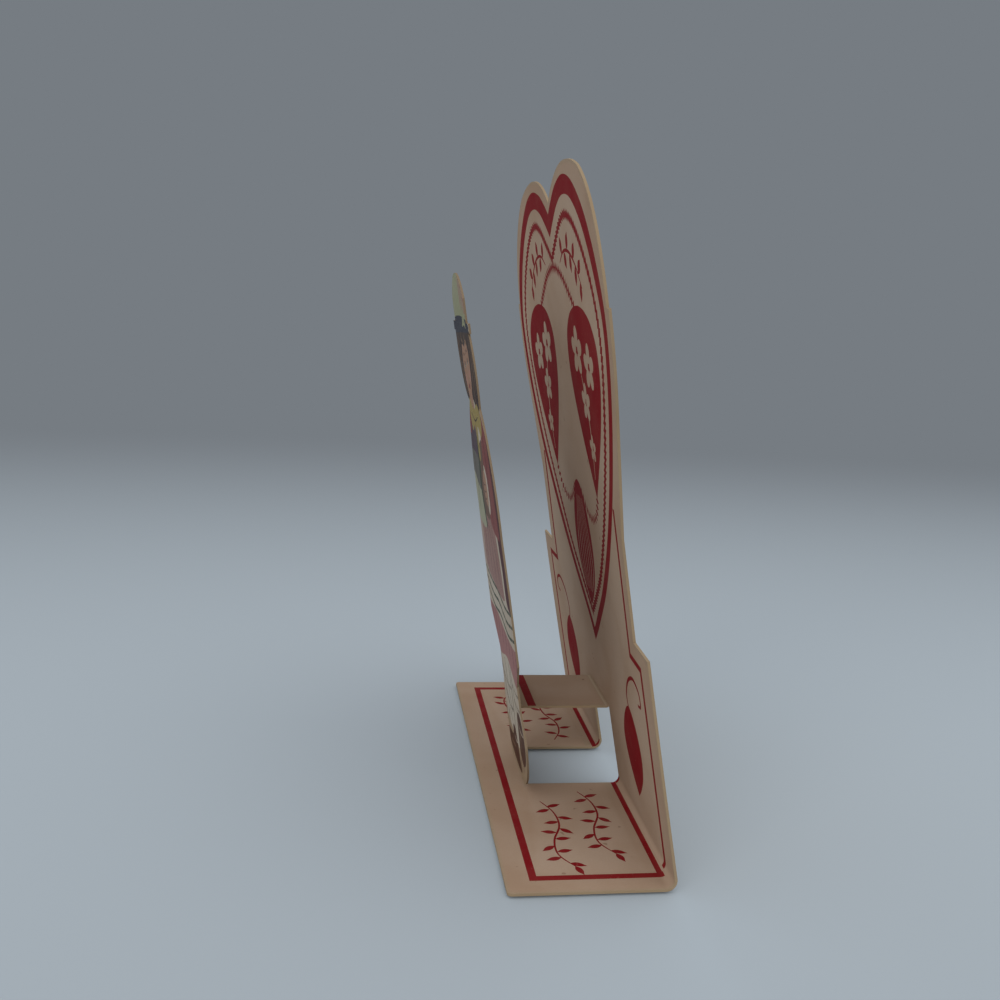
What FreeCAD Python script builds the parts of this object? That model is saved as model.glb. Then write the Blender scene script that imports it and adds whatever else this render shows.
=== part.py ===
import FreeCAD, Part
import math
import os

import Sketcher

# A stand-up greeting card: one die-cut sheet folded into a base and a leaning, heart-topped
# back panel, with a strut popped out of the window across the fold and a cut-out figure glued
# to it. Millimetres. X runs across the card, -Y is its front and Z is up.

doc = FreeCAD.newDocument("greeting_card")

# Driving sizes

sheet = doc.addObject("Spreadsheet::Sheet", "Sizes")
driving_sizes = [
    ("card_width", 100.0),
    ("card_gauge", 0.5),
    ("base_depth", 31.0),
    ("base_corner_radius", 0.9),
    ("fold_radius", 1.5),
    ("panel_lean", 12.0),
    ("panel_bow_radius", 2000.0),
    ("wing_height", 44.6),
    ("pedestal_width", 80.6),
    ("pedestal_height", 64.0),
    ("shoulder_width", 98.8),
    ("flare_width", 95.0),
    ("flare_height", 88.0),
    ("flare_radius", 54.0),
    ("shoulder_height", 104.5),
    ("heart_width", 95.6),
    ("lobe_offset", 18.0),
    ("lobe_rise", 26.5),
    ("lobe_radius", 27.0),
    ("brow_reach", 14.0),
    ("brow_radius", 42.0),
    ("cleft_depth", 6.0),
    ("window_width", 18.0),
    ("strut_height", 18.5),
    ("strut_bend_radius", 0.5),
    ("riser_distance", 21.2),
    ("figure_lean", 10.0),
    ("figure_gauge", 0.4),
    ("figure_foot_gap", 1.0),
    ("feet_centre", 1.5),
    ("sole_width", 19.0),
    ("ground_rise", 13.5),
    ("ground_width", 30.0),
    ("ground_radius", 20.0),
    ("legs_centre", 7.5),
    ("legs_width", 25.0),
    ("ankle_rise", 6.5),
    ("leg_rise", 6.0),
    ("hem_rise", 6.5),
    ("hem_width", 40.5),
    ("body_centre", 5.5),
    ("skirt_rise", 14.5),
    ("waist_width", 40.0),
    ("waist_rise", 11.0),
    ("elbow_width", 37.5),
    ("sleeve_rise", 13.5),
    ("sleeve_radius", 24.0),
    ("collar_width", 33.5),
    ("neck_rise", 10.5),
    ("neck_width", 17.5),
    ("hair_rise", 14.5),
    ("hair_radius", 14.0),
    ("head_centre", -2.0),
    ("head_width", 27.0),
    ("brim_gauge", 2.0),
    ("brim_width", 31.5),
    ("crown_rise", 4.8),
    ("crown_width", 22.6),
    ("crown_radius", 15.0),
    ("cut_margin", 10.0),
]
for row, (alias, number) in enumerate(driving_sizes, start=1):
    sheet.set(f"A{row}", alias)
    sheet.set(f"B{row}", str(number))
    sheet.setAlias(f"B{row}", alias)
doc.recompute()
names = sorted((alias for alias, number in driving_sizes), key=len, reverse=True)


# Sketch helpers


def bound(text):
    """Turn a formula in plain size names into one that reads the sheet's cells."""
    words = []
    word = ""
    for letter in text + " ":
        if letter.isalnum() or letter == "_":
            word += letter
            continue
        words.append("Sizes." + word if word in names else word)
        words.append(letter)
        word = ""
    return "".join(words).strip()


def value(text):
    """The present value of a formula in plain size names."""
    return float(sheet.evalExpression(bound(text)))


def attach(sketch, body, role):
    """Lay a sketch on one of its body's own origin planes."""
    for plane in body.Origin.OriginFeatures:
        if plane.Role == role:
            sketch.AttachmentSupport = [(plane, "")]
    sketch.MapMode = "FlatFace"


def new_sketch(body, name, role):
    sketch = body.newObject("Sketcher::SketchObject", name)
    attach(sketch, body, role)
    doc.recompute()
    return sketch


def arc_middle(start, end, radius, turn):
    """The middle of the minor arc from start to end, turning left for 1 and right for -1."""
    chord = end - start
    half = chord.Length / 2
    rise = radius - math.sqrt(radius * radius - half * half)
    side = FreeCAD.Vector(chord.y, -chord.x, 0).normalize()
    return (start + end) * 0.5 + side * (rise * turn)


def pin(sketch, geometry, point, across, up):
    """Hold one end of an edge at a place that the sheet gives."""
    for kind, formula in (("DistanceX", across), ("DistanceY", up)):
        rule = Sketcher.Constraint(kind, -1, 1, geometry, point, value(formula))
        index = sketch.addConstraint(rule)
        sketch.setExpression(f"Constraints[{index}]", bound(formula))


def outline(sketch, corners):
    """Draw a closed outline. A corner is (across, up) or (across, up, radius, turn), where the
    last two make the edge to the next corner an arc that turns left (1) or right (-1)."""
    places = [FreeCAD.Vector(value(c[0]), value(c[1]), 0) for c in corners]
    edges = []
    for index, corner in enumerate(corners):
        start = places[index]
        end = places[(index + 1) % len(corners)]
        if len(corner) == 2:
            edge = sketch.addGeometry(Part.LineSegment(start, end), False)
            edges.append((edge, 1, 2))
            continue
        middle = arc_middle(start, end, value(corner[2]), corner[3])
        ends = (start, middle, end) if corner[3] > 0 else (end, middle, start)
        edge = sketch.addGeometry(Part.Arc(*ends), False)
        edges.append((edge, 1, 2) if corner[3] > 0 else (edge, 2, 1))
    for index, corner in enumerate(corners):
        edge, first, last = edges[index]
        following = edges[(index + 1) % len(corners)]
        sketch.addConstraint(Sketcher.Constraint("Coincident", edge, last, following[0], following[1]))
        pin(sketch, edge, first, corner[0], corner[1])
        if len(corner) > 2:
            radius = sketch.addConstraint(Sketcher.Constraint("Radius", edge, value(corner[2])))
            sketch.setExpression(f"Constraints[{radius}]", bound(corner[2]))
    doc.recompute()


def across_card(body, kind, name, sketch, width):
    """Pad or cut a side profile evenly to both sides of the card's middle plane."""
    feature = body.newObject("PartDesign::" + kind, name)
    feature.Profile = sketch
    feature.SideType = "Symmetric"
    feature.setExpression("Length", bound(width))
    doc.recompute()
    return feature


def lean_back(sketch, lean, up, forward):
    """Tilt a sketch on the XZ plane forward by the lean, about a line across the card."""
    spot = FreeCAD.Vector(0, value(up), value(forward))
    turn = FreeCAD.Rotation(FreeCAD.Vector(1, 0, 0), value(lean))
    sketch.AttachmentOffset = FreeCAD.Placement(spot, turn)
    sketch.setExpression("AttachmentOffset.Base.y", bound(up))
    sketch.setExpression("AttachmentOffset.Base.z", bound(forward))
    sketch.setExpression("AttachmentOffset.Rotation.Angle", bound(lean))
    doc.recompute()


# Folded card: base, rounded fold and leaning back panel, in side view

lobe_top = "(shoulder_height + lobe_rise)"
fold_outer = "(fold_radius + card_gauge)"
top_lean = f"(panel_lean - {lobe_top} / panel_bow_radius * 180 / pi)"
bow_across = f"(-{fold_outer} + ({fold_outer} + panel_bow_radius) * cos(panel_lean))"
bow_up = f"({fold_outer} + ({fold_outer} + panel_bow_radius) * sin(panel_lean))"
bow_front = "(panel_bow_radius + card_gauge)"

card = doc.addObject("PartDesign::Body", "folded_card")
card.Label = "folded_card"
side_view = new_sketch(card, "side_view", "YZ_Plane")
outline(
    side_view,
    [
        ("-base_depth", "0"),
        (f"-{fold_outer}", "0", fold_outer, 1),
        (
            f"-{fold_outer} + {fold_outer} * cos(panel_lean)",
            f"{fold_outer} + {fold_outer} * sin(panel_lean)",
            "panel_bow_radius",
            -1,
        ),
        (
            f"{bow_across} - panel_bow_radius * cos{top_lean}",
            f"{bow_up} - panel_bow_radius * sin{top_lean}",
        ),
        (
            f"{bow_across} - {bow_front} * cos{top_lean}",
            f"{bow_up} - {bow_front} * sin{top_lean}",
            bow_front,
            1,
        ),
        (
            f"-{fold_outer} + fold_radius * cos(panel_lean)",
            f"{fold_outer} + fold_radius * sin(panel_lean)",
            "fold_radius",
            -1,
        ),
        (f"-{fold_outer}", "card_gauge"),
        ("-base_depth", "card_gauge"),
    ],
)
sheet_pad = across_card(card, "Pad", "folded_sheet", side_view, "card_width")

# Window across the fold, whose strip is popped out

riser_back = "(-riser_distance + card_gauge / cos(figure_lean))"
window_view = new_sketch(card, "window_view", "YZ_Plane")
outline(
    window_view,
    [
        (riser_back, "-cut_margin"),
        ("cut_margin", "-cut_margin"),
        ("cut_margin", "strut_height - card_gauge"),
        (riser_back, "strut_height - card_gauge"),
    ],
)
window = across_card(card, "Pocket", "window", window_view, "window_width")

# Strut and riser: the window's strip, creased level at the panel and upright at the base

bend_outer = "(strut_bend_radius + card_gauge)"
bend_up = f"(strut_height - {bend_outer})"
bend_across = (
    f"(-riser_distance + ({bend_outer} - ({bend_up} - card_gauge) * sin(figure_lean))"
    " / cos(figure_lean))"
)
strut_back = (
    f"(-{fold_outer} + fold_radius * cos(panel_lean)"
    f" - (strut_height - {fold_outer} - fold_radius * sin(panel_lean)) * tan(panel_lean)"
    " + card_gauge / 2)"
)
strip_view = new_sketch(card, "strip_view", "YZ_Plane")
outline(
    strip_view,
    [
        ("-riser_distance", "card_gauge"),
        (
            f"{bend_across} - {bend_outer} * cos(figure_lean)",
            f"{bend_up} - {bend_outer} * sin(figure_lean)",
            bend_outer,
            -1,
        ),
        (bend_across, "strut_height"),
        (strut_back, "strut_height"),
        (strut_back, "strut_height - card_gauge"),
        (bend_across, "strut_height - card_gauge", "strut_bend_radius", 1),
        (
            f"{bend_across} - strut_bend_radius * cos(figure_lean)",
            f"{bend_up} - strut_bend_radius * sin(figure_lean)",
        ),
        (riser_back, "card_gauge"),
        (riser_back, "0"),
        ("-riser_distance", "0"),
    ],
)
strip = across_card(card, "Pad", "strut_and_riser", strip_view, "window_width")

# Die-cut outline: wings, pedestal and heart, cut square through the leaning panel

mean_lean = f"((panel_lean + {top_lean}) / 2)"
crest_radius = "((lobe_offset ^ 2 + cleft_depth ^ 2) / (2 * cleft_depth))"
brow = f"({lobe_top} - brow_radius + sqrt(brow_radius ^ 2 - brow_reach ^ 2))"
waste_side = "(card_width / 2 + cut_margin)"
waste_top = f"({lobe_top} + cut_margin)"
die_cut = new_sketch(card, "die_cut", "XZ_Plane")
lean_back(die_cut, mean_lean, "0", "0")
outline(
    die_cut,
    [
        (waste_side, "wing_height"),
        (waste_side, waste_top),
        (f"-{waste_side}", waste_top),
        (f"-{waste_side}", "wing_height"),
        ("-pedestal_width / 2", "wing_height"),
        ("-pedestal_width / 2", "pedestal_height"),
        ("-flare_width / 2", "flare_height", "flare_radius", -1),
        ("-shoulder_width / 2", "shoulder_height"),
        ("-heart_width / 2", "shoulder_height", "lobe_radius", -1),
        ("-(lobe_offset + brow_reach)", brow, "brow_radius", -1),
        ("-lobe_offset", lobe_top, crest_radius, -1),
        ("0", f"{lobe_top} - cleft_depth", crest_radius, -1),
        ("lobe_offset", lobe_top, "brow_radius", -1),
        ("lobe_offset + brow_reach", brow, "lobe_radius", -1),
        ("heart_width / 2", "shoulder_height"),
        ("shoulder_width / 2", "shoulder_height", "flare_radius", -1),
        ("flare_width / 2", "flare_height"),
        ("pedestal_width / 2", "pedestal_height"),
        ("pedestal_width / 2", "wing_height"),
    ],
)
waste = across_card(card, "Pocket", "die_cut_waste", die_cut, "4 * card_width")

# Rounded front corners of the base

corner_edges = []
for index, edge in enumerate(waste.Shape.Edges, start=1):
    middle = edge.CenterOfMass
    at_side = abs(abs(middle.x) - value("card_width / 2")) < value("card_gauge / 10")
    at_front = abs(middle.y + value("base_depth")) < value("card_gauge / 10")
    if at_side and at_front:
        corner_edges.append(f"Edge{index}")
corners = card.newObject("PartDesign::Fillet", "base_corners")
corners.Base = (waste, corner_edges)
corners.setExpression("Radius", bound("base_corner_radius"))
doc.recompute()

# Cut-out figure against the riser: a child with a hat, puffed sleeves and a full skirt, who
# stands on a little patch of ground. Each level is measured up from the one below it.

sole = "figure_foot_gap"
ground = f"({sole} + ground_rise)"
ankle = f"({ground} + ankle_rise)"
knee = f"({ankle} + leg_rise)"
hem = f"({knee} + hem_rise)"
waist = f"({hem} + skirt_rise)"
elbow = f"({waist} + waist_rise)"
collar = f"({elbow} + sleeve_rise)"
neck = f"({collar} + neck_rise)"
brim = f"({neck} + hair_rise)"
brim_top = f"({brim} + brim_gauge)"
crown = f"({brim_top} + crown_rise)"
hat_top = f"({crown} + crown_radius - sqrt(crown_radius ^ 2 - (crown_width / 2) ^ 2))"

figure = doc.addObject("PartDesign::Body", "cutout_figure")
figure.Label = "cutout_figure"
silhouette = new_sketch(figure, "silhouette", "XZ_Plane")
lean_back(silhouette, "figure_lean", "card_gauge", "riser_distance")
outline(
    silhouette,
    [
        ("feet_centre - sole_width / 2", sole),
        ("feet_centre + sole_width / 2", sole, "ground_radius", 1),
        ("legs_centre + ground_width / 2", ground),
        ("legs_centre + legs_width / 2", ankle),
        ("legs_centre + legs_width / 2", knee),
        ("body_centre + hem_width / 2", hem),
        ("body_centre + waist_width / 2", waist),
        ("body_centre + elbow_width / 2", elbow, "sleeve_radius", 1),
        ("body_centre + collar_width / 2", collar, "sleeve_radius", 1),
        ("body_centre + neck_width / 2", neck, "hair_radius", 1),
        ("head_centre + head_width / 2", brim),
        ("head_centre + brim_width / 2", brim),
        ("head_centre + brim_width / 2", brim_top),
        ("head_centre + crown_width / 2", brim_top),
        ("head_centre + crown_width / 2", crown, "crown_radius", 1),
        ("head_centre - crown_width / 2", crown),
        ("head_centre - crown_width / 2", brim_top),
        ("head_centre - brim_width / 2", brim_top),
        ("head_centre - brim_width / 2", brim),
        ("head_centre - head_width / 2", brim, "hair_radius", 1),
        ("body_centre - neck_width / 2", neck, "sleeve_radius", 1),
        ("body_centre - collar_width / 2", collar, "sleeve_radius", 1),
        ("body_centre - elbow_width / 2", elbow),
        ("body_centre - waist_width / 2", waist),
        ("body_centre - hem_width / 2", hem),
        ("legs_centre - legs_width / 2", knee),
        ("legs_centre - legs_width / 2", ankle),
        ("legs_centre - ground_width / 2", ground),
    ],
)
figure_pad = figure.newObject("PartDesign::Pad", "figure_sheet")
figure_pad.Profile = silhouette
figure_pad.setExpression("Length", bound("figure_gauge"))
doc.recompute()

# Common place: the middle of the card's footprint, with the base's underside at zero height

front_reach = f"(riser_distance + {hat_top} * sin(figure_lean) + figure_gauge * cos(figure_lean))"
for body in (card, figure):
    body.setExpression("Placement.Base.y", bound(f"max(base_depth; {front_reach}) / 2"))
doc.recompute()

# Each feature has to have done its work before the pieces are saved

steps = [sheet_pad, window, strip, waste, corners]
grows = [None, False, True, False, False]
for earlier, later, adds in zip(steps, steps[1:], grows[1:]):
    change = later.Shape.Volume - earlier.Shape.Volume
    if (change > 0) != adds or abs(change) < value("card_gauge ^ 3"):
        raise RuntimeError(f"{later.Label} changed the card by {change} mm3")
for item in doc.Objects:
    if "Invalid" in item.State or "Error" in item.State:
        raise RuntimeError(f"{item.Label} did not build")
os.makedirs("parts", exist_ok=True)
for body in (card, figure):
    if body.Shape.isNull() or not body.Shape.isValid() or len(body.Shape.Solids) != 1:
        raise RuntimeError(f"{body.Label} is not one valid solid")
    body.Shape.exportStep(f"parts/{body.Label}.step")
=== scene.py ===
import math
import bpy
import numpy as np
from mathutils import Matrix, Vector, geometry


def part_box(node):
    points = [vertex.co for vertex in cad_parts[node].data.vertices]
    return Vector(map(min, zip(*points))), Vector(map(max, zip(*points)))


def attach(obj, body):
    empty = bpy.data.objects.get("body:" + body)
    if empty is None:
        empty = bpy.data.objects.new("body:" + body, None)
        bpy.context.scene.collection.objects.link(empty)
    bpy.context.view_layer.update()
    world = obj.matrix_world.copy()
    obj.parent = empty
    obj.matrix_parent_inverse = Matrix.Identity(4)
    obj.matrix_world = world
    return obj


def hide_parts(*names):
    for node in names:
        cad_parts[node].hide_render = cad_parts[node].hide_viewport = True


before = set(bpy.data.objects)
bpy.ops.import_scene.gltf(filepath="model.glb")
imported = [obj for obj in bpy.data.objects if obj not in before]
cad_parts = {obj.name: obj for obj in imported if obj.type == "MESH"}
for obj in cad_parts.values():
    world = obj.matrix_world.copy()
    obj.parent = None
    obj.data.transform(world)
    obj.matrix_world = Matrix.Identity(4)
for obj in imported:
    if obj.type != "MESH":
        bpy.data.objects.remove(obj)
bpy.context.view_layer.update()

scene = bpy.context.scene
MM = 0.001

# Camera: a phone held level with the card's near side and a little above and in front of it,
# so that the card is seen almost edge on.
camera_place = Vector((0.2074, -0.0388, 0.1025))
camera_heading = math.radians(81.7)
camera_dip = math.radians(11.08)
camera_roll = math.radians(3.1)
camera_data = bpy.data.cameras.new("camera")
camera_data.sensor_width = 36.0
camera_data.lens = 36.0
camera = bpy.data.objects.new("camera", camera_data)
scene.collection.objects.link(camera)
aim = Matrix.Rotation(camera_heading, 4, "Z") @ Matrix.Rotation(math.pi / 2 - camera_dip, 4, "X")
camera.matrix_world = Matrix.Translation(camera_place) @ aim @ Matrix.Rotation(camera_roll, 4, "Z")
scene.camera = camera

# Folded card, the drawing tools for its printed blank. The blank is one flat sheet, drawn in
# millimetres: x runs across it and s runs from the base's front edge to the top of the heart.
card_low, card_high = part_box("folded_card")
sheet_width = (card_high[0] - card_low[0]) / MM
card_back = card_high[1] / MM
card_gauge = 0.5
base_depth = 31.0
half_width = sheet_width / 2


def smooth(points, closed=True, steps=6):
    """A smooth line through a few points, as a list of points."""
    count = len(points)
    line = []
    last = count if closed else count - 1
    for i in range(last):
        if closed:
            p0, p1, p2, p3 = (points[(i + k) % count] for k in (-1, 0, 1, 2))
        else:
            p0, p1 = points[max(i - 1, 0)], points[i]
            p2, p3 = points[i + 1], points[min(i + 2, count - 1)]
        for j in range(steps):
            t = j / steps
            line.append(tuple(
                0.5 * (2 * b + (c - a) * t + (2 * a - 5 * b + 4 * c - d) * t**2
                       + (3 * b - a - 3 * c + d) * t**3)
                for a, b, c, d in zip(p0, p1, p2, p3)
            ))
    if not closed:
        line.append(tuple(points[-1]))
    return line


def mirrored(half):
    """A closed outline from its right half, whose first and last points are on the middle."""
    return half + [(-x, y) for x, y in reversed(half[1:-1])]


def arc(centre, radius, first, last, steps):
    """Points along a round stretch, by its centre and its first and last angles."""
    angles = (math.radians(first + (last - first) * i / steps) for i in range(steps + 1))
    return [(centre[0] + radius * math.cos(a), centre[1] + radius * math.sin(a)) for a in angles]


def oval(x, y, rx, ry, turn=0.0, steps=20):
    c, s = math.cos(math.radians(turn)), math.sin(math.radians(turn))
    ring = ((rx * math.cos(2 * math.pi * i / steps), ry * math.sin(2 * math.pi * i / steps))
            for i in range(steps))
    return [(x + a * c - b * s, y + a * s + b * c) for a, b in ring]


def stroke(points, width, taper=0.0):
    """The outline of a pen line along points. A taper of 1 brings both ends to a point."""
    count = len(points)
    left, right = [], []
    for i, (x, y) in enumerate(points):
        ax, ay = points[max(i - 1, 0)]
        bx, by = points[min(i + 1, count - 1)]
        size = math.hypot(bx - ax, by - ay) or 1.0
        swell = 1 - taper * abs(2 * i / (count - 1) - 1) ** 2
        half = max(width * swell / 2, 0.04)
        left.append((x - (by - ay) / size * half, y + (bx - ax) / size * half))
        right.append((x + (by - ay) / size * half, y - (bx - ax) / size * half))
    return left + right[::-1]


def placed(loop, x, y, turn=0.0):
    """A drawn shape moved to its place on the sheet and turned."""
    c, s = math.cos(math.radians(turn)), math.sin(math.radians(turn))
    return [(x + (a * c - b * s), y + (a * s + b * c)) for a, b in loop]


def line(a, b, width):
    """A ruled line with square ends that reach half its width past a and b."""
    ax, ay = a
    bx, by = b
    size = math.hypot(bx - ax, by - ay)
    ux, uy = (bx - ax) / size * width / 2, (by - ay) / size * width / 2
    return [(ax - ux + uy, ay - uy - ux), (bx + ux + uy, by + uy - ux),
            (bx + ux - uy, by + uy + ux), (ax - ux - uy, ay - uy + ux)]


def bowed(a, b, radius, steps=10):
    """Points on the arc from a to b that bows out to the right of the way from a to b."""
    a, b = Vector(a), Vector(b)
    half = (b - a).length / 2
    along = (b - a).normalized()
    right = Vector((along.y, -along.x))
    centre = (a + b) / 2 - right * math.sqrt(radius**2 - half**2)
    first = math.degrees(math.atan2(a.y - centre.y, a.x - centre.x))
    last = math.degrees(math.atan2(b.y - centre.y, b.x - centre.x))
    if last < first:
        last += 360
    return arc(centre, radius, first, last, steps)


# Folded card, the way the flat sheet folds: a rounded fold between base and back panel, and a
# strip between two slits that pops out the other way as riser and strut. With age the panel's
# sides have curled forward, and the strut has pushed its middle back, by about a millimetre.
fold_radius = 1.5
fold_outer = fold_radius + card_gauge
panel_lean = math.radians(12)
fold_turn = math.pi / 2 + panel_lean
bow_radius = 2000.0
curl, twist, curl_height = 0.85, 0.45, 110
push, push_rise, push_top, push_fade = 0.75, 16, 115, 55
fold_first = base_depth - fold_outer
fold_last = fold_first + (fold_radius + card_gauge / 2) * fold_turn
height_before_fold = 2.37
panel_start = fold_last - height_before_fold
bow_centre_y = -fold_outer + (fold_outer + bow_radius) * math.cos(panel_lean)
bow_centre_z = fold_outer + (fold_outer + bow_radius) * math.sin(panel_lean)

window_half = 9.0
strut_height = 18.5
strut_bend = 0.5
bend_outer = strut_bend + card_gauge
riser_lean = math.radians(10)
riser_distance = 21.2
foot_bend = 0.15
foot_centre_y = -riser_distance - foot_bend * (
    math.cos(riser_lean) + (1 + math.sin(riser_lean)) * math.tan(riser_lean))
foot_centre_z = card_gauge + foot_bend
bend_centre_z = strut_height - bend_outer
bend_centre_y = -riser_distance + (
    bend_outer - (bend_centre_z - card_gauge) * math.sin(riser_lean)) / math.cos(riser_lean)
slit_first = base_depth + foot_centre_y
crease_turn = panel_lean - math.asin((bow_centre_z - strut_height) / (bow_radius + card_gauge))
slit_last = fold_last + crease_turn * (bow_radius + card_gauge / 2)


def folded(x, s, level):
    """Where a point of the sheet goes. Level 0 is the printed face and level 1 the plain one."""
    if s <= fold_first:
        y, z = s - base_depth, card_gauge * (1 - level)
    elif s <= fold_last:
        turn = (s - fold_first) / (fold_radius + card_gauge / 2)
        reach = fold_radius + card_gauge * level
        y, z = -fold_outer + reach * math.sin(turn), fold_outer - reach * math.cos(turn)
    else:
        turn = panel_lean - (s - fold_last) / (bow_radius + card_gauge / 2)
        reach = bow_radius + card_gauge * (1 - level)
        y, z = bow_centre_y - reach * math.cos(turn), bow_centre_z - reach * math.sin(turn)
        aside, rise = x / half_width, min((s - fold_last) / curl_height, 1)
        y -= (curl * aside**2 + twist * aside) * rise**1.5
        above, below = (s - slit_last) / push_rise, (fold_last + push_top - s) / push_fade
        y += push * (1 - aside**2) ** 2 * max(0, min(above, below, 1))
    return x * MM, (y + card_back) * MM, z * MM


riser_run = math.hypot(
    bend_centre_y - bend_outer * math.cos(riser_lean)
    - foot_centre_y - foot_bend * math.cos(riser_lean),
    bend_centre_z - bend_outer * math.sin(riser_lean)
    - foot_centre_z - foot_bend * math.sin(riser_lean))
strip_turn = math.pi / 2 + riser_lean
strip_rest = slit_last - slit_first - riser_run
foot_run = (foot_bend + card_gauge / 2) * strip_turn
bend_run = (strut_bend + card_gauge / 2) * strip_turn
strut_run = strip_rest - foot_run - bend_run
strut_back_y = folded(0, slit_last, 0)[1] / MM - card_back


def popped(x, s, level):
    """Where a point of the window's strip goes: up the riser and back along the strut."""
    way = s - slit_first
    if way <= foot_run:
        turn = way / (foot_bend + card_gauge / 2)
        reach = foot_bend + card_gauge * level
        y, z = foot_centre_y + reach * math.sin(turn), foot_centre_z - reach * math.cos(turn)
    elif way <= foot_run + riser_run:
        reach = foot_bend + card_gauge * level
        up = way - foot_run
        y = foot_centre_y + reach * math.cos(riser_lean) - up * math.sin(riser_lean)
        z = foot_centre_z + reach * math.sin(riser_lean) + up * math.cos(riser_lean)
    elif way <= foot_run + riser_run + bend_run:
        turn = math.pi + riser_lean - (way - foot_run - riser_run) / (
            strut_bend + card_gauge / 2)
        reach = strut_bend + card_gauge * (1 - level)
        y, z = bend_centre_y + reach * math.cos(turn), bend_centre_z + reach * math.sin(turn)
    else:
        share = (way - foot_run - riser_run - bend_run) / strut_run
        y = bend_centre_y + share * (strut_back_y - bend_centre_y)
        z = strut_height - card_gauge * level
    return x * MM, (y + card_back) * MM, z * MM


# Folded card, its stock and inks: thin matt board gone tan with age, printed in one red. The
# board shows its fibres, blotches and brown specks, and the ink is a little thin in places.
def group_input(tree, kind, name, default):
    socket = tree.interface.new_socket(name, in_out="INPUT", socket_type=kind)
    socket.default_value = default


def node(tree, kind, **settings):
    made = tree.nodes.new(kind)
    for name, setting in settings.items():
        setattr(made, name, setting)
    return made


def wire(tree, *pairs):
    for source, target in pairs:
        tree.links.new(source, target)


def mapped(tree, value, low, high, to_low, to_high):
    """A Map Range node's output, smoothly stepped."""
    ranged = node(tree, "ShaderNodeMapRange", interpolation_type="SMOOTHSTEP")
    for name, number in zip(("From Min", "From Max", "To Min", "To Max"),
                            (low, high, to_low, to_high)):
        ranged.inputs[name].default_value = number
    wire(tree, (value, ranged.inputs["Value"]))
    return ranged.outputs["Result"]


def noise(tree, coordinates, scale, detail=3.0, roughness=0.5):
    made = node(tree, "ShaderNodeTexNoise")
    made.inputs["Scale"].default_value = scale
    made.inputs["Detail"].default_value = detail
    made.inputs["Roughness"].default_value = roughness
    wire(tree, (coordinates, made.inputs["Vector"]))
    return made.outputs["Fac"]


def blended(tree, factor, first, second, kind="MIX"):
    """A colour mix whose factor and colours are sockets or plain colours."""
    mixed = node(tree, "ShaderNodeMix", data_type="RGBA", blend_type=kind)
    for socket, given in ((mixed.inputs[0], factor), (mixed.inputs[6], first),
                          (mixed.inputs[7], second)):
        if isinstance(given, bpy.types.NodeSocket):
            wire(tree, (given, socket))
        else:
            socket.default_value = given
    return mixed.outputs[2]


def linear(red, green, blue):
    """A colour as it looks on screen, from 0 to 255, as Blender's linear colour."""
    parts = ((c / 255 / 12.92) if c / 255 <= 0.04045 else ((c / 255 + 0.055) / 1.055) ** 2.4
             for c in (red, green, blue))
    return (*parts, 1.0)


board_light = linear(168, 145, 125)
board_tan = linear(149, 121, 97)
board_brown = linear(138, 105, 78)
board_edge = linear(148, 131, 107)
board_speck = linear(104, 72, 51)
card_red = linear(118, 12, 19)

aged = bpy.data.node_groups.new("aged_board", "ShaderNodeTree")
group_input(aged, "NodeSocketColor", "Stock", board_light)
group_input(aged, "NodeSocketColor", "Age tint", board_tan)
group_input(aged, "NodeSocketFloat", "Age", 0.5)
aged.interface.new_socket("Color", in_out="OUTPUT", socket_type="NodeSocketColor")
aged.interface.new_socket("Height", in_out="OUTPUT", socket_type="NodeSocketFloat")
given = aged.nodes.new("NodeGroupInput")
made = aged.nodes.new("NodeGroupOutput")
place = aged.nodes.new("ShaderNodeTexCoord").outputs["Object"]
blotches = mapped(aged, noise(aged, place, 60, 4), 0.38, 0.68, 0.0, 1.0)
weigh = node(aged, "ShaderNodeMath", operation="MULTIPLY")
wire(aged, (blotches, weigh.inputs[0]), (given.outputs["Age"], weigh.inputs[1]))
toned = blended(aged, weigh.outputs[0], given.outputs["Stock"], given.outputs["Age tint"])
fibres = noise(aged, place, 2600, 4, 0.6)
flecked = blended(aged, mapped(aged, fibres, 0.3, 0.72, 0.16, 0.0), toned, board_tan)
specks = mapped(aged, noise(aged, place, 420, 2), 0.71, 0.76, 0.0, 0.45)
spotted = blended(aged, specks, flecked, board_speck)
wear = node(aged, "ShaderNodeAttribute", attribute_name="edge_wear")
browned = blended(aged, mapped(aged, wear.outputs["Fac"], 0.0, 0.9, 0.0, 0.22), spotted, board_brown)
worn = mapped(aged, wear.outputs["Fac"], 0.9, 1.0, 0.0, 0.55)
wire(aged, (blended(aged, worn, browned, board_edge), made.inputs["Color"]),
     (fibres, made.inputs["Height"]))

inked = bpy.data.node_groups.new("printed_ink", "ShaderNodeTree")
group_input(inked, "NodeSocketColor", "Ink", card_red)
group_input(inked, "NodeSocketColor", "Board", board_light)
group_input(inked, "NodeSocketFloat", "Screen", 0.0)
inked.interface.new_socket("Color", in_out="OUTPUT", socket_type="NodeSocketColor")
inked.interface.new_socket("Cover", in_out="OUTPUT", socket_type="NodeSocketFloat")
given = inked.nodes.new("NodeGroupInput")
made = inked.nodes.new("NodeGroupOutput")
place = inked.nodes.new("ShaderNodeTexCoord").outputs["Object"]
thin_spots = mapped(inked, noise(inked, place, 1500, 5, 0.65), 0.24, 0.40, 0.26, 0.0)
uneven = mapped(inked, noise(inked, place, 170, 3), 0.3, 0.7, 0.04, 0.0)
flat_place = node(inked, "ShaderNodeUVMap", uv_map="flat_sheet")
screen = node(inked, "ShaderNodeMapping", vector_type="POINT")
screen.inputs["Rotation"].default_value = (0, 0, math.radians(45))
screen.inputs["Scale"].default_value = (330, 330, 330)
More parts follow.
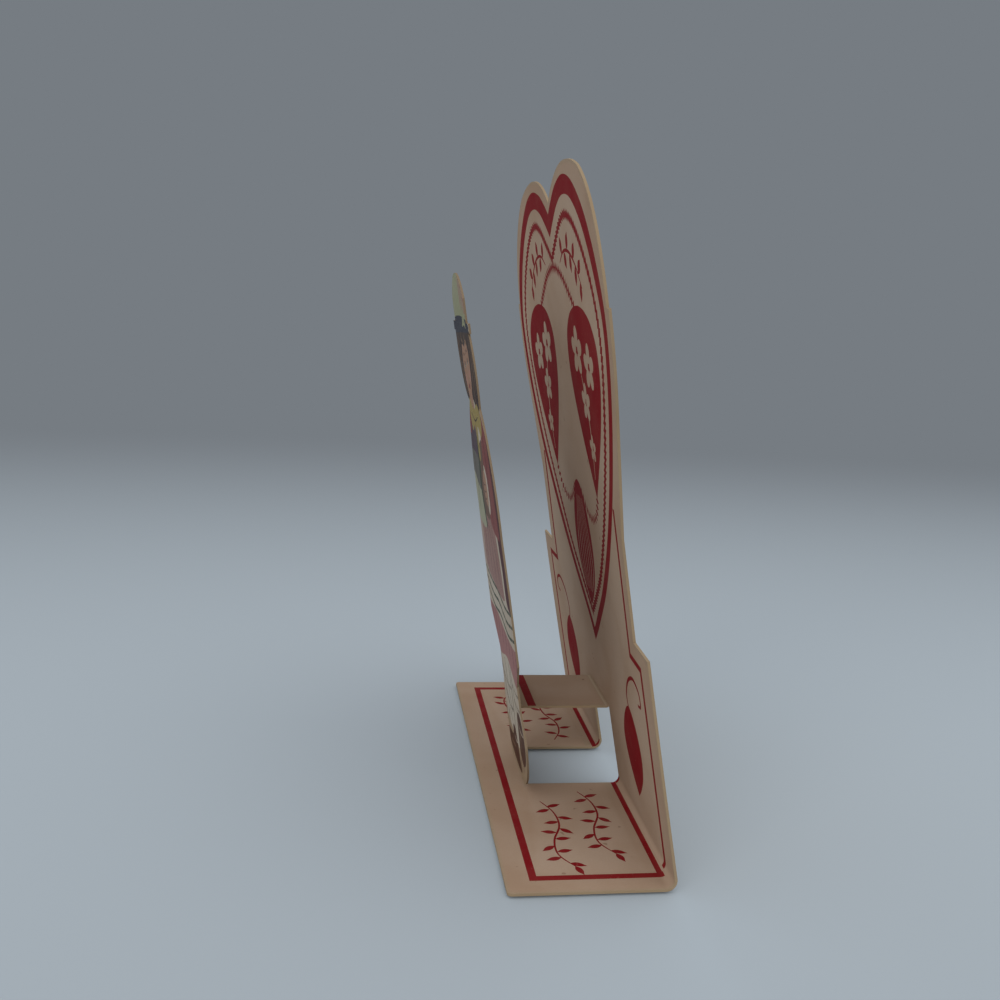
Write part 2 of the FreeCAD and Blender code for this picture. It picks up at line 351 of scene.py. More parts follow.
dots = node(inked, "ShaderNodeTexVoronoi", feature="F1", voronoi_dimensions="2D")
dots.inputs["Scale"].default_value = 1.0
dots.inputs["Randomness"].default_value = 0.0
wire(inked, (flat_place.outputs["UV"], screen.inputs["Vector"]),
     (screen.outputs["Vector"], dots.inputs["Vector"]))
gaps = mapped(inked, dots.outputs["Distance"], 0.30, 0.42, 0.0, 1.0)
screened = node(inked, "ShaderNodeMath", operation="MULTIPLY")
wire(inked, (gaps, screened.inputs[0]), (given.outputs["Screen"], screened.inputs[1]))
bare = node(inked, "ShaderNodeMath", operation="MAXIMUM")
bare_all = node(inked, "ShaderNodeMath", operation="ADD", use_clamp=True)
wire(inked, (thin_spots, bare.inputs[0]), (screened.outputs[0], bare.inputs[1]),
     (bare.outputs[0], bare_all.inputs[0]), (uneven, bare_all.inputs[1]))
wire(inked, (blended(inked, bare_all.outputs[0], given.outputs["Ink"], given.outputs["Board"]),
             made.inputs["Color"]), (bare_all.outputs[0], made.inputs["Cover"]))


def board(name, stock, tint, age, ink=None, screen=0.0, roughness=0.82):
    """The card's surface, bare or under one ink. A screened ink is broken into fine dots."""
    material = bpy.data.materials.new(name)
    material.use_nodes = True
    material.diffuse_color = ink or stock
    tree = material.node_tree
    shader = tree.nodes["Principled BSDF"]
    surface = node(tree, "ShaderNodeGroup", node_tree=aged)
    surface.inputs["Stock"].default_value = stock
    surface.inputs["Age tint"].default_value = tint
    surface.inputs["Age"].default_value = age
    colour = surface.outputs["Color"]
    if ink:
        layer = node(tree, "ShaderNodeGroup", node_tree=inked)
        layer.inputs["Ink"].default_value = ink
        layer.inputs["Screen"].default_value = screen
        wire(tree, (colour, layer.inputs["Board"]))
        colour = layer.outputs["Color"]
    bump = node(tree, "ShaderNodeBump")
    bump.inputs["Strength"].default_value = 0.25
    bump.inputs["Distance"].default_value = 0.00006
    wire(tree, (surface.outputs["Height"], bump.inputs["Height"]),
         (bump.outputs["Normal"], shader.inputs["Normal"]),
         (colour, shader.inputs["Base Color"]))
    shader.inputs["Roughness"].default_value = roughness
    shader.inputs["Specular IOR Level"].default_value = 0.08
    return material


card_materials = {
    "bare": board("bare_board", board_light, board_tan, 0.45),
    "red": board("red_ink", board_light, board_tan, 0.45, ink=card_red),
    # The pale creased board is partly the worn board along the strut's crease and partly a painted
    # highlight where light catches the bend.
    "crease_wear_and_highlight": board("creased_board_painted_highlight", linear(200, 181, 160), board_light, 0.2),
    "back": board("board_back", linear(158, 136, 112), linear(146, 122, 97), 0.6),
    "cut": board("cut_edge", linear(144, 124, 95), linear(118, 92, 64), 0.7),
}


# Folded card, printing, die cutting and folding: the drawn shapes divide the sheet into inked
# and bare fields, and the sheet gets its plain back and its cut edges, then folds up.
worn_rim, browned_rim = 0.9, 9.0
row_shift, row_start = 0.37, 0.41
map_span = 200
crisp_angle = math.radians(40)


def left_handed(loop):
    """A closed outline drawn the left-handed way round, so that its inside is on the left."""
    area = sum(a[0] * b[1] - b[0] * a[1] for a, b in zip(loop, loop[1:] + loop[:1]))
    return loop if area > 0 else loop[::-1]


def printed_sheet(name, outline, prints, inks, place, folds=(), slits=None, grid=4.0):
    """A thin printed sheet. Prints are (ink, shape) in the order of printing, later on top."""
    loops = [left_handed(shape) for shape in [outline] + [shape for ink, shape in prints]]
    points, faces, edges = [], [], []
    for loop in loops:
        faces.append(list(range(len(points), len(points) + len(loop))))
        points += [Vector(p) for p in loop]
    low = Vector((min(p[0] for p in outline), min(p[1] for p in outline)))
    high = Vector((max(p[0] for p in outline), max(p[1] for p in outline)))
    for s in folds:
        edges.append((len(points), len(points) + 1))
        points += [Vector((low.x - 1, s)), Vector((high.x + 1, s))]
    if slits:
        half, first, last = slits
        for side in (-half, half):
            edges.append((len(points), len(points) + 1))
            points += [Vector((side, first)), Vector((side, last))]
        for s in (first, last):
            edges.append((len(points), len(points) + 1))
            points += [Vector((-half, s)), Vector((half, s))]
    # A row of points just inside the rim keeps its wear even.
    for a, b in zip(loops[0], loops[0][1:] + loops[0][:1]):
        along = Vector(b) - Vector(a)
        inward = Vector((-along.y, along.x)).normalized() * worn_rim
        pieces = max(round(along.length / grid), 1)
        points += [Vector(a) + along * (i + 0.5) / pieces + inward for i in range(pieces)]
    columns, rows = int((high.x - low.x) / grid), int((high.y - low.y) / grid)
    for i in range(columns + 1):
        for j in range(rows + 1):
            across = low.x + (i + row_shift * (j % 2)) * grid
            points.append(Vector((across, low.y + (j + row_start) * grid)))
    flat, _, cells, _, _, within = geometry.delaunay_2d_cdt(points, edges, faces, 0, 1e-4, True)

    index, spots, front, material_of = {}, [], [], []
    names = list(inks)
    for cell, covers in zip(cells, within):
        if 0 not in covers:
            continue
        ax, ay, bx, by, cx, cy = (q for v in cell for q in flat[v])
        if (bx - ax) * (cy - ay) - (by - ay) * (cx - ax) < 0:
            cell = cell[::-1]
        middle_x, middle_y = (ax + bx + cx) / 3, (ay + by + cy) / 3
        loose = bool(slits) and abs(middle_x) < half and first < middle_y < last
        corners = []
        for v in cell:
            key = (v, loose and first + 1e-3 < flat[v].y < last - 1e-3)
            if key not in index:
                index[key] = len(spots)
                spots.append((flat[v].x, flat[v].y, key[1]))
            corners.append(index[key])
        front.append(corners)
        top = max(covers)
        material_of.append(names.index(prints[top - 1][0] if top else "bare"))

    count = len(spots)
    places = [place(x, s, level, loose) for level in (0, 1) for x, s, loose in spots]
    borders = {}
    for corners in front:
        for a, b in zip(corners, corners[1:] + corners[:1]):
            if borders.pop((b, a), None) is None:
                borders[(a, b)] = True
    back = [[v + count for v in reversed(corners)] for corners in front]
    walls = [[a, a + count, b + count, b] for a, b in borders]
    mesh = bpy.data.meshes.new(name)
    mesh.from_pydata(places, [], front + back + walls)
    for ink in names:
        mesh.materials.append(inks[ink])
    slots = (material_of + [names.index("back")] * len(back) + [names.index("cut")] * len(walls))
    mesh.polygons.foreach_set("material_index", slots)
    mesh.polygons.foreach_set("use_smooth", [True] * (2 * len(front)) + [False] * len(walls))
    mesh.set_sharp_from_angle(angle=crisp_angle)

    rim = np.array([(spots[a][:2], spots[b][:2]) for a, b in borders])
    here = np.array([spot[:2] for spot in spots])
    nearest = np.full(count, 1e9)
    for a, b in rim:
        along = b - a
        share = np.clip(((here - a) @ along) / max(along @ along, 1e-12), 0, 1)
        nearest = np.minimum(nearest, np.linalg.norm(here - a - share[:, None] * along, axis=1))
    wear = mesh.attributes.new("edge_wear", "FLOAT", "POINT")
    wear.data.foreach_set("value", np.tile(np.clip(1 - nearest / browned_rim, 0, 1), 2))
    sheet_map = mesh.uv_layers.new(name="flat_sheet")
    for loop in mesh.loops:
        x, s = spots[loop.vertex_index % count][:2]
        sheet_map.data[loop.index].uv = (x / map_span + 0.5, s / map_span + 0.1)
    mesh.validate()
    mesh.update()
    piece = bpy.data.objects.new(name, mesh)
    scene.collection.objects.link(piece)
    return piece


# Folded card, its die-cut outline: square base with eased corners, low wings, a pedestal that
# flares to a small step, and a heart's two lobes.
def on_panel(points):
    """Points drawn on the back panel, by their height from the fold, moved onto the sheet."""
    return [(x, height + panel_start) for x, height in points]


corner_radius = 0.9
wing_height, pedestal_half, pedestal_height = 44.6, 40.3, 64.0
flare_half, flare_height, flare_radius = 47.5, 88.0, 54.0
shoulder_half, shoulder_height, heart_half = 49.4, 104.5, 47.8
lobe_side, lobe_rise, lobe_radius, cleft_depth = 18.0, 26.5, 27.0, 6.0
brow_reach, brow_radius = 14.0, 42.0
lobe_top = shoulder_height + lobe_rise
brow_side = lobe_side + brow_reach
brow = lobe_top - brow_radius + math.sqrt(brow_radius**2 - brow_reach**2)
crest_radius = (lobe_side**2 + cleft_depth**2) / (2 * cleft_depth)
base_corner = arc((half_width - corner_radius, corner_radius), corner_radius, 270, 360, 4)
right_edge = (
    [(half_width, wing_height), (pedestal_half, wing_height), (pedestal_half, pedestal_height)]
    + bowed((flare_half, flare_height), (shoulder_half, shoulder_height), flare_radius, 8)
    + bowed((heart_half, shoulder_height), (brow_side, brow), lobe_radius, 16)[:-1]
    + bowed((brow_side, brow), (lobe_side, lobe_top), brow_radius, 8)[:-1]
    + bowed((lobe_side, lobe_top), (0.0, lobe_top - cleft_depth), crest_radius, 12)
)
right_outline = base_corner + on_panel(right_edge)
card_outline = right_outline + [(-x, s) for x, s in reversed(right_outline[:-1])]

# Folded card, the printed line work: a ruled frame on the base, a fine line inside the wings
# and pedestal, and a heart with a thick band.
card_prints = []


def both_sides(ink, shape):
    card_prints.append((ink, shape))
    card_prints.append((ink, [(-x, s) for x, s in reversed(shape)]))


frame_side, frame_front, frame_back, frame_rule = 45.35, 5.35, 29.4, 1.5
card_prints.append(("red", line((-frame_side, frame_front), (frame_side, frame_front), frame_rule)))
both_sides("red", line((frame_side, frame_front), (frame_side, frame_back), frame_rule))
both_sides("red", line((window_half + 0.6, frame_back), (frame_side, frame_back), 1.2))
strut_rule = 31.0
card_prints.append(("red", line((-window_half, strut_rule), (window_half, strut_rule), 1.9)))
# A pale line just before the strut meets the panel: the worn crease, lightened further as a painted
# highlight on the fold.
crease_wear_and_highlight = slit_last - 0.6
card_prints.append(("crease_wear_and_highlight", line((-window_half, crease_wear_and_highlight), (window_half, crease_wear_and_highlight), 0.45)))
wing_rule, pedestal_rule, fine_rule = 43.7, 35.8, 1.3
rule_foot, rule_step, rule_top = 1.5, 40.6, 68.0
for a, b in (((wing_rule, rule_foot), (wing_rule, rule_step)),
             ((wing_rule, rule_step), (pedestal_rule, rule_step)),
             ((pedestal_rule, rule_step), (pedestal_rule, rule_top))):
    both_sides("red", on_panel(line(a, b, fine_rule)))


def heart_path(half):
    return mirrored(smooth(half, closed=False))


print_skew, print_middle = 0.018, 70


def on_heart(points):
    """Points of the heart's print, which sits a little askew on the panel."""
    return on_panel([(x - print_skew * (height - print_middle), height) for x, height in points])


band_outer = heart_path([
    (0, 31.2), (7.6, 38), (15.4, 44.8), (23, 52.6), (30, 61.4), (36.2, 70.4), (41.4, 80),
    (45, 89), (46.8, 97), (46.7, 103.5), (44.4, 110), (40.4, 116), (34.4, 122), (26, 127),
    (17.6, 128.8), (9.6, 127.6), (4, 125.2), (0, 122.9)])
band_inner = heart_path([
    (0, 34.2), (6.2, 39.8), (13.4, 46.2), (20.4, 53.6), (27.4, 62.2), (33.4, 70.8),
    (38.4, 80), (42, 88.6), (43.9, 96.6), (43.8, 102.4), (41.4, 108), (37.4, 114), (31.6, 119.6),
    (24, 124), (16.6, 125.2), (10, 123.8), (4.4, 121), (0, 118.3)])
card_prints.append(("red", on_heart(band_outer)))
card_prints.append(("bare", on_heart(band_inner)))

# Folded card, the rows of small marks: slanting dashes that run round inside the heart, an arch
# of them across its top, and strings of them from the drops to the bud. They are laid along a
# drawn line and printed with the rest.
marks_tree = bpy.data.node_groups.new("marks_along_line", "GeometryNodeTree")
marks_tree.interface.new_socket("Geometry", in_out="INPUT", socket_type="NodeSocketGeometry")
for socket_name, socket_default in (("Spacing", 1.5), ("Length", 1.4), ("Width", 0.7),
                                    ("Slant", 0.0)):
    group_input(marks_tree, "NodeSocketFloat", socket_name, socket_default)
group_input(marks_tree, "NodeSocketInt", "Sides", 4)
marks_tree.interface.new_socket("Geometry", in_out="OUTPUT", socket_type="NodeSocketGeometry")
given = marks_tree.nodes.new("NodeGroupInput")
made = marks_tree.nodes.new("NodeGroupOutput")
drawn = node(marks_tree, "GeometryNodeMeshToCurve")
evenly = node(marks_tree, "GeometryNodeResampleCurve", mode="LENGTH")
mark = node(marks_tree, "GeometryNodeMeshCircle", fill_type="NGON")
mark.inputs["Radius"].default_value = 0.5
tangent = node(marks_tree, "GeometryNodeInputTangent")
turned = node(marks_tree, "FunctionNodeAlignRotationToVector", axis="X")
slanted = node(marks_tree, "FunctionNodeRotateRotation", rotation_space="LOCAL")
slant_angle = node(marks_tree, "ShaderNodeCombineXYZ")
mark_size = node(marks_tree, "ShaderNodeCombineXYZ")
mark_size.inputs["Z"].default_value = 1.0
laid = node(marks_tree, "GeometryNodeInstanceOnPoints")
realized = node(marks_tree, "GeometryNodeRealizeInstances")
finish = node(marks_tree, "GeometryNodeSetMaterial")
finish.inputs["Material"].default_value = card_materials["red"]
wire(marks_tree,
     (given.outputs["Geometry"], drawn.inputs["Mesh"]),
     (drawn.outputs["Curve"], evenly.inputs["Curve"]),
     (given.outputs["Spacing"], evenly.inputs["Length"]),
     (evenly.outputs["Curve"], laid.inputs["Points"]),
     (given.outputs["Sides"], mark.inputs["Vertices"]),
     (mark.outputs["Mesh"], laid.inputs["Instance"]),
     (tangent.outputs["Tangent"], turned.inputs["Vector"]),
     (given.outputs["Slant"], slant_angle.inputs["Z"]),
     (turned.outputs["Rotation"], slanted.inputs["Rotation"]),
     (slant_angle.outputs["Vector"], slanted.inputs["Rotate By"]),
     (slanted.outputs["Rotation"], laid.inputs["Rotation"]),
     (given.outputs["Length"], mark_size.inputs["X"]),
     (given.outputs["Width"], mark_size.inputs["Y"]),
     (mark_size.outputs["Vector"], laid.inputs["Scale"]),
     (laid.outputs["Instances"], realized.inputs["Geometry"]),
     (realized.outputs["Geometry"], finish.inputs["Geometry"]),
     (finish.outputs["Geometry"], made.inputs["Geometry"]))


def marks_along(points, closed=False, **sizes):
    """The outlines of equal marks laid along a drawn line by the tree above."""
    count = len(points)
    edges = [(i, (i + 1) % count) for i in range(count if closed else count - 1)]
    mesh = bpy.data.meshes.new("drawn_line")
    mesh.from_pydata([(x, y, 0) for x, y in points], edges, [])
    guide = bpy.data.objects.new("drawn_line", mesh)
    scene.collection.objects.link(guide)
    row = guide.modifiers.new("marks", "NODES")
    row.node_group = marks_tree
    for item in marks_tree.interface.items_tree:
        if item.in_out == "INPUT" and item.name in sizes:
            row[item.identifier] = sizes[item.name]
    graph = bpy.context.evaluated_depsgraph_get()
    flat = bpy.data.meshes.new_from_object(guide.evaluated_get(graph))
    shapes = [[tuple(flat.vertices[v].co[:2]) for v in face.vertices] for face in flat.polygons]
    bpy.data.objects.remove(guide)
    bpy.data.meshes.remove(flat)
    return shapes


dash_path = heart_path([
    (0, 38), (7.2, 43.8), (14.4, 50.2), (21.6, 59), (28.4, 68.8), (34.2, 78.6), (38.2, 88),
    (40.3, 95.4), (40.2, 101.4), (38, 107), (34, 112.2), (28.6, 117), (22.6, 120.4), (16.6, 121.6),
    (11, 120.2), (5.2, 117), (0, 113.9)])
for shape in marks_along(dash_path, closed=True, Spacing=1.5, Length=1.8, Width=2.7,
                         Slant=math.radians(30), Sides=4):
    card_prints.append(("red", on_heart(shape)))
arch = smooth([(-20.4, 102.6), (-18, 104.8), (-13.6, 107.6), (-7.6, 110.8), (0, 112.4), (7.6, 110.8),
               (13.6, 107.6), (18, 104.8), (20.4, 102.6)], closed=False)
for shape in marks_along(arch, Spacing=1.5, Length=1.6, Width=2.7, Sides=4):
    card_prints.append(("red", on_heart(shape)))

# Folded card, the ornaments: two solid drops with blossoms, a ribbed bud between them on its
# strings, a leafy twig in each lobe, a leaf and its stalk on each wing, and two fine sprigs on
# each half of the base.
drop = mirrored(smooth([(0, 0), (3.6, 4.8), (8.4, 11.4), (12.6, 18.4), (14.8, 25), (14.2, 30.8),
                        (10.4, 34.8), (5.2, 36.8), (0, 37.4)], closed=False))
drop_place, drop_turn = (20.6, 67.4), -3
petals, petal_reach, petal_length, petal_width = 5, 2.1, 1.55, 1.2


def on_drop(shape):
    return placed(shape, *drop_place, turn=drop_turn)


def both_hearts(ink, shape):
    """A mark of the heart's print and its mirror image."""
    card_prints.append((ink, on_heart(shape)))
    card_prints.append((ink, on_heart([(-x, height) for x, height in reversed(shape)])))


both_hearts("red", on_drop(drop))
for across, height, size in ((-5.4, 28.4, 1.35), (5.2, 26.4, 1.25), (-1, 19, 1.05), (1.2, 10.4, 0.75)):
    for petal in range(petals):
        turn = 90 + 360 * petal / petals
        out = (across + petal_reach * size * math.cos(math.radians(turn)),
               height + petal_reach * size * math.sin(math.radians(turn)))
        shape = oval(*out, petal_length * size, petal_width * size, turn, 14)
        both_hearts("bare", on_drop(shape))
vein = smooth([(-3.4, 24.6), (-1.6, 21), (0.4, 15.6), (0.8, 9), (0.2, 4)], closed=False)
both_hearts("bare", on_drop(stroke(vein, 0.5, taper=0.5)))
string = smooth([(20.4, 67), (17.6, 63.4), (13, 61.6), (8.4, 62.2), (3.6, 65.6)], closed=False)
for shape in marks_along(string, Spacing=1.6, Length=1.3, Width=2.5, Slant=math.radians(20), Sides=4):
    both_hearts("red", shape)
bud = mirrored(smooth([(0, 39.4), (4, 43), (7.4, 48), (8.6, 53.4), (7.6, 59), (5.2, 63.8),
                       (2.8, 66.8), (0, 67.8)], closed=False))
card_prints.append(("red", on_heart(bud)))
for side in (-6.3, -4.2, -2.1, 0, 2.1, 4.2, 6.3):
    rib = smooth([(side * 0.4, 43), (side, 48.6), (side * 0.9, 55), (side * 0.4, 64)], closed=False)
    card_prints.append(("bare", on_heart(stroke(rib, 0.34, taper=0.6))))
twig = smooth([(8.4, 113), (13, 115), (18.6, 114.6), (24, 112), (28.6, 107.8)], closed=False)
both_hearts("red", stroke(twig, 0.7, taper=0.6))
twig_leaf = mirrored(smooth([(0, 0), (0.9, 1.1), (1.05, 2.3), (0.4, 3.3), (0, 3.8)], closed=False))
for x, height, turn in ((11.4, 114.4, 20), (13.6, 115, 205), (16.6, 115, -25), (19.2, 114.4, 190),
                        (21.8, 113.2, -40), (23.8, 112, 175), (26, 110.4, -50), (27.6, 109, 170)):
    both_hearts("red", placed(twig_leaf, x, height, turn))

leaf = mirrored(smooth([(0, 0), (2.9, 2.8), (5.6, 6.6), (6.6, 11), (5.3, 15), (2.6, 18.2),
                        (0, 19.6)], closed=False))
both_sides("red", on_panel(placed(leaf, 28.8, 7.8)))
stalk = smooth([(28.8, 26.6), (28, 29.6), (30.6, 33.4), (35.4, 35.6), (39.4, 34.4), (39.8, 31.8),
                (37.6, 31.2)], closed=False)
both_sides("red", on_panel(stroke(stalk, 0.8, taper=0.3)))

sprig = smooth([(0, 0), (4.6, 2), (10, 2.2), (15.4, 0.2), (20.6, 0), (25, 2.6)], closed=False)
sprig_leaf = mirrored(smooth([(0, 0), (0.55, 0.9), (0.6, 1.9), (0.2, 2.8), (0, 3.3)], closed=False))
for first, up in ((13, 20.4), (17, 11.6)):
    both_sides("red", placed(stroke(sprig, 0.42, taper=0.5), first, up, 0))
    for x, s, turn in ((2.4, 1, 20), (3.4, 1.4, 200), (6.6, 2.4, -15), (8.4, 2.4, 190), (11, 2, -40),
                       (12.6, 1.2, 170), (15, 0.4, 5), (17.4, -0.2, 215), (19.6, -0.1, 10),
                       (21.6, 0.4, 195), (23.6, 1.6, -20), (24.6, 2.4, -70)):
        both_sides("red", placed(sprig_leaf, first + x, up + s, turn))

# Folded card, put together: the printed blank is creased along its folds, with a rounded one at
# the foot of the panel, and stands in for the plain card of the same shape.
fold_steps, bend_steps = 9, 6
card_folds = [fold_first + (fold_last - fold_first) * i / fold_steps for i in range(fold_steps + 1)]
strip_steps = (0.0, 0.12, 0.25, 0.37, 0.5)
card_folds += [slit_first + step for step in strip_steps]
bend_first = slit_first + foot_run + riser_run
card_folds += [bend_first + bend_run * i / bend_steps for i in range(bend_steps + 1)]


def card_place(x, s, level, loose):
    return popped(x, s, level) if loose else folded(x, s, level)


card = printed_sheet("printed_card", card_outline, card_prints, card_materials, card_place,
                     card_folds, (window_half, slit_first, slit_last))
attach(card, "root")
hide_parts("folded_card")

# Cut-out figure: a die-cut coloured scrap of a child in a hat, glued upright to the riser. Its
# outline goes round from the near shoe, with waved hair and a full skirt over frilled legs.
figure_gauge = 0.4
figure_outline = (
    [(-8.0, 1.0)] + bowed((11.0, 1.0), (22.5, 14.5), 20.0)
    + [(20.0, 21.0), (20.0, 27.0), (25.75, 33.5), (25.5, 48.0)]
    + bowed((24.25, 59.0), (22.25, 72.5), 24.0)[:-1]
    + bowed((22.25, 72.5), (14.25, 83.0), 24.0)[:-1]
    + bowed((14.25, 83.0), (11.5, 97.5), 14.0)
    + [(13.75, 97.5), (13.75, 99.5), (9.3, 99.5)]
    + bowed((9.3, 104.3), (-13.3, 104.3), 15.0, 24)
    + [(-13.3, 99.5), (-17.75, 99.5), (-17.75, 97.5)]
    + bowed((-15.5, 97.5), (-3.25, 83.0), 14.0)[:-1]
    + bowed((-3.25, 83.0), (-11.25, 72.5), 24.0)[:-1]
    + bowed((-11.25, 72.5), (-13.25, 59.0), 24.0)
    + [(-14.5, 48.0), (-14.75, 33.5), (-5.0, 27.0), (-5.0, 21.0), (-7.5, 14.5)]
)


def figure_place(x, v, level, loose):
    """Where a point of the figure goes, leaning forward with its back on the riser."""
    out = figure_gauge * (1 - level)
    y = -riser_distance - v * math.sin(riser_lean) - out * math.cos(riser_lean)
    z = card_gauge + v * math.cos(riser_lean) - out * math.sin(riser_lean)
    return x * MM, (y + card_back) * MM, z * MM


# Cut-out figure, its inks: the scrap was printed in many soft colours on creamy paper, with the
# skirt's pink broken into fine dots, and it has a faint shine that the card lacks.
cream = linear(176, 166, 150)
cream_tan = linear(156, 141, 121)
figure_colours = {
    "straw": (132, 132, 102), "ribbon": (39, 40, 52), "hair": (55, 40, 35),
    "hair_light": (112, 87, 65), "skin": (146, 112, 91), "blush": (148, 87, 74),
    "yellow": (142, 124, 72), "coat": (109, 33, 34), "coat_dark": (68, 27, 31),
    "vest": (97, 73, 60), "sleeve": (75, 60, 68), "sleeve_grey": (93, 89, 82),
    "cuff": (145, 143, 120), "green": (47, 56, 40), "pink": (109, 37, 44),
    "pale_pink": (153, 130, 120), "rose": (137, 78, 80), "shoe": (70, 40, 27),
    "line": (55, 40, 35), "ground": (145, 124, 99),
}
screens = {"pink": 0.6, "coat": 0.15, "blush": 0.5, "pale_pink": 0.3, "rose": 0.3}
figure_inks = {
    "bare": board("scrap_paper", cream, cream_tan, 0.5, roughness=0.55),
    "back": board("scrap_back", linear(146, 131, 110), linear(128, 108, 84), 0.6),
    "cut": board("scrap_edge", linear(66, 54, 44), linear(52, 41, 32), 0.6),
}
for name, colour in figure_colours.items():
    figure_inks[name] = board("scrap_" + name, cream, cream_tan, 0.5, ink=linear(*colour),
                              screen=screens.get(name, 0.0), roughness=0.55)

# Cut-out figure, its picture from the ground up. Filled shapes may run past the outline, where
# the die cuts them off, and dark pen lines finish each form.
figure_prints = []


def fill(ink, points, steps=4):
    figure_prints.append((ink, smooth(points, steps=steps)))


def pen(ink, points, width, taper=0.5):
    figure_prints.append((ink, stroke(smooth(points, closed=False), width, taper=taper)))


fill("ground", [(-9, 0), (12, 0), (24, 12), (22, 17), (10, 9), (-9, 10)])
for x, v, up in ((-7.4, 9, 4), (-3, 9.6, 4), (10, 3, 4.4), (13.4, 4.6, 3), (22, 12, 4)):
    pen("shoe", [(x, v), (x + 0.5, v + up / 2), (x + 1.5, v + up)], 0.6, 0.9)
fill("shoe", [(-8.2, 3.2), (-7.2, 6.6), (-3, 7.4), (1, 8.4), (3.2, 11.6), (6.8, 11.8), (8.6, 6),
              (8.8, 2.4), (0, 1.8)])
fill("shoe", [(11.6, 8.4), (12, 13), (13.6, 18.4), (17.4, 20), (20.4, 18), (21, 13), (18.4, 9),
              (14.6, 7)])
pen("hair_light", [(-5.6, 4.4), (-1.6, 5), (2.6, 5.8)], 0.6)
pen("hair_light", [(14.2, 10), (14.6, 13), (16, 16)], 0.6)
pen("bare", [(3.4, 9), (5.4, 8.6), (7.4, 9)], 0.5)
pen("bare", [(13.4, 16.4), (16.6, 15.6), (20, 16)], 0.5)
for points in ([(-4.4, 28), (-3, 21), (2.4, 12)], [(8.8, 28), (8.6, 20), (7.2, 12)],
               [(11.2, 28), (11.4, 23), (13.2, 18.4)], [(2, 27), (3, 22), (5, 15)]):
    pen("line", points, 0.6)
for points in ([(-2.6, 17.4), (3, 15.8), (8, 16.8)], [(12.4, 21), (16, 20.6), (20.4, 21.6)],
               [(-4.4, 22.6), (2, 21), (8.6, 22)], [(11.2, 24.6), (15.6, 23.8), (20.6, 24.8)]):
    for shape in marks_along(smooth(points, closed=False), Spacing=1.25, Length=0.85, Width=0.85,
                             Sides=8):
        figure_prints.append(("line", shape))

fill("rose", [(-16, 38), (27, 38), (27, 32), (20, 26.4), (8, 29), (-5, 26.2), (-16, 32)])
for x in (-11, -6, -1, 4, 9, 14, 19, 23.4):
    pen("coat_dark", [(x, 30.5), (x + 0.8, 34), (x + 0.4, 37)], 0.5, 0.9)
fill("bare", [(-16.5, 45.5), (27, 46), (27, 37.4), (14, 35.6), (0, 36.6), (-16.5, 36)])
for first, last in ((38.6, 36.8), (41.4, 39.8), (44, 42.8)):
    pen("green", [(-14, first), (-4, last + 0.2), (6, first - 0.6), (16, last), (25.6, first)], 0.8, 0.2)
for x in (-12, -8.4, -4.2, 0.4, 5, 9.6, 14, 18.4, 22.4):
    pen("pale_pink", [(x, 37), (x + 0.6, 41), (x + 0.2, 45)], 0.5)
fill("pale_pink", [(-15.5, 45), (-14.6, 54), (-12.6, 60), (-7, 60), (-9, 52), (-10, 45)])
fill("pink", [(-7.6, 60.4), (14, 60.4), (17, 52), (18, 44.8), (4, 43.6), (-10, 44.8), (-9.4, 52)])
for x in (-4.6, 0.4, 5.6, 11):
    pen("coat_dark", [(x * 0.7 + 1, 59), (x, 52), (x * 1.25 - 0.6, 45.4)], 0.45, 0.8)
fill("bare", [(14.4, 60.4), (16.4, 60), (19.6, 52), (20.6, 45), (18.2, 45), (17.2, 52)])
fill("coat_dark", [(17.6, 62), (25, 62), (26.6, 52), (26.6, 45), (20.8, 45), (20, 52)])

fill("bare", [(-4, 82), (12, 82), (10.6, 74), (8.2, 66), (3, 62), (1.4, 70)])
fill("vest", [(0.4, 76), (5.4, 75), (10.4, 76), (11, 68), (10, 60), (0, 60), (-1, 68)])
fill("coat", [(12.4, 82.6), (19, 78.4), (23.6, 72), (25.6, 62), (22, 58), (11.4, 58.6), (9.2, 63),
              (8.4, 70), (10.4, 76)])
fill("coat_dark", [(19.4, 77.4), (23.6, 71), (26, 60), (22.8, 57), (21.4, 64), (20, 71)])
pen("coat_dark", [(12, 80), (14.4, 73), (14, 65), (15, 59)], 0.7)
fill("sleeve", [(-12.6, 74), (-8.4, 79), (-3.4, 82), (1.6, 78), (2.4, 73), (-2, 70.6), (-12.8, 70.4)])
fill("sleeve_grey", [(-13, 71), (-2.6, 71.4), (1.8, 69), (-0.6, 64.6), (-6, 63), (-13.6, 65)])
fill("cuff", [(-14.4, 66), (-5.6, 64), (-0.4, 63), (1, 57.6), (-4, 55), (-15, 56.6)])
pen("green", [(2.2, 76), (1.4, 70), (-0.6, 65), (0.2, 60), (1.6, 56)], 2.4, 0.5)
pen("line", [(-9.4, 78), (-7.4, 74), (-8.6, 70), (-7.6, 65), (-8.8, 58)], 0.5)
fill("coat", [(-9.6, 79.4), (-6, 81.4), (-5.2, 78), (-7.4, 75.4), (-10.6, 76)])
fill("bare", [(8.4, 70.6), (11.8, 69.4), (12.6, 65), (11.4, 61.4), (9, 61.8)])
fill("skin", [(4.2, 66.4), (6.4, 69.4), (9.4, 69), (10.4, 65.6), (9.4, 62.4), (5.6, 62.8)])
for side in (0, 1.5, 3):
    pen("line", [(4.6 + side * 0.4, 66.6 - side), (6.4, 66.4 - side), (8, 66.8 - side)], 0.3)

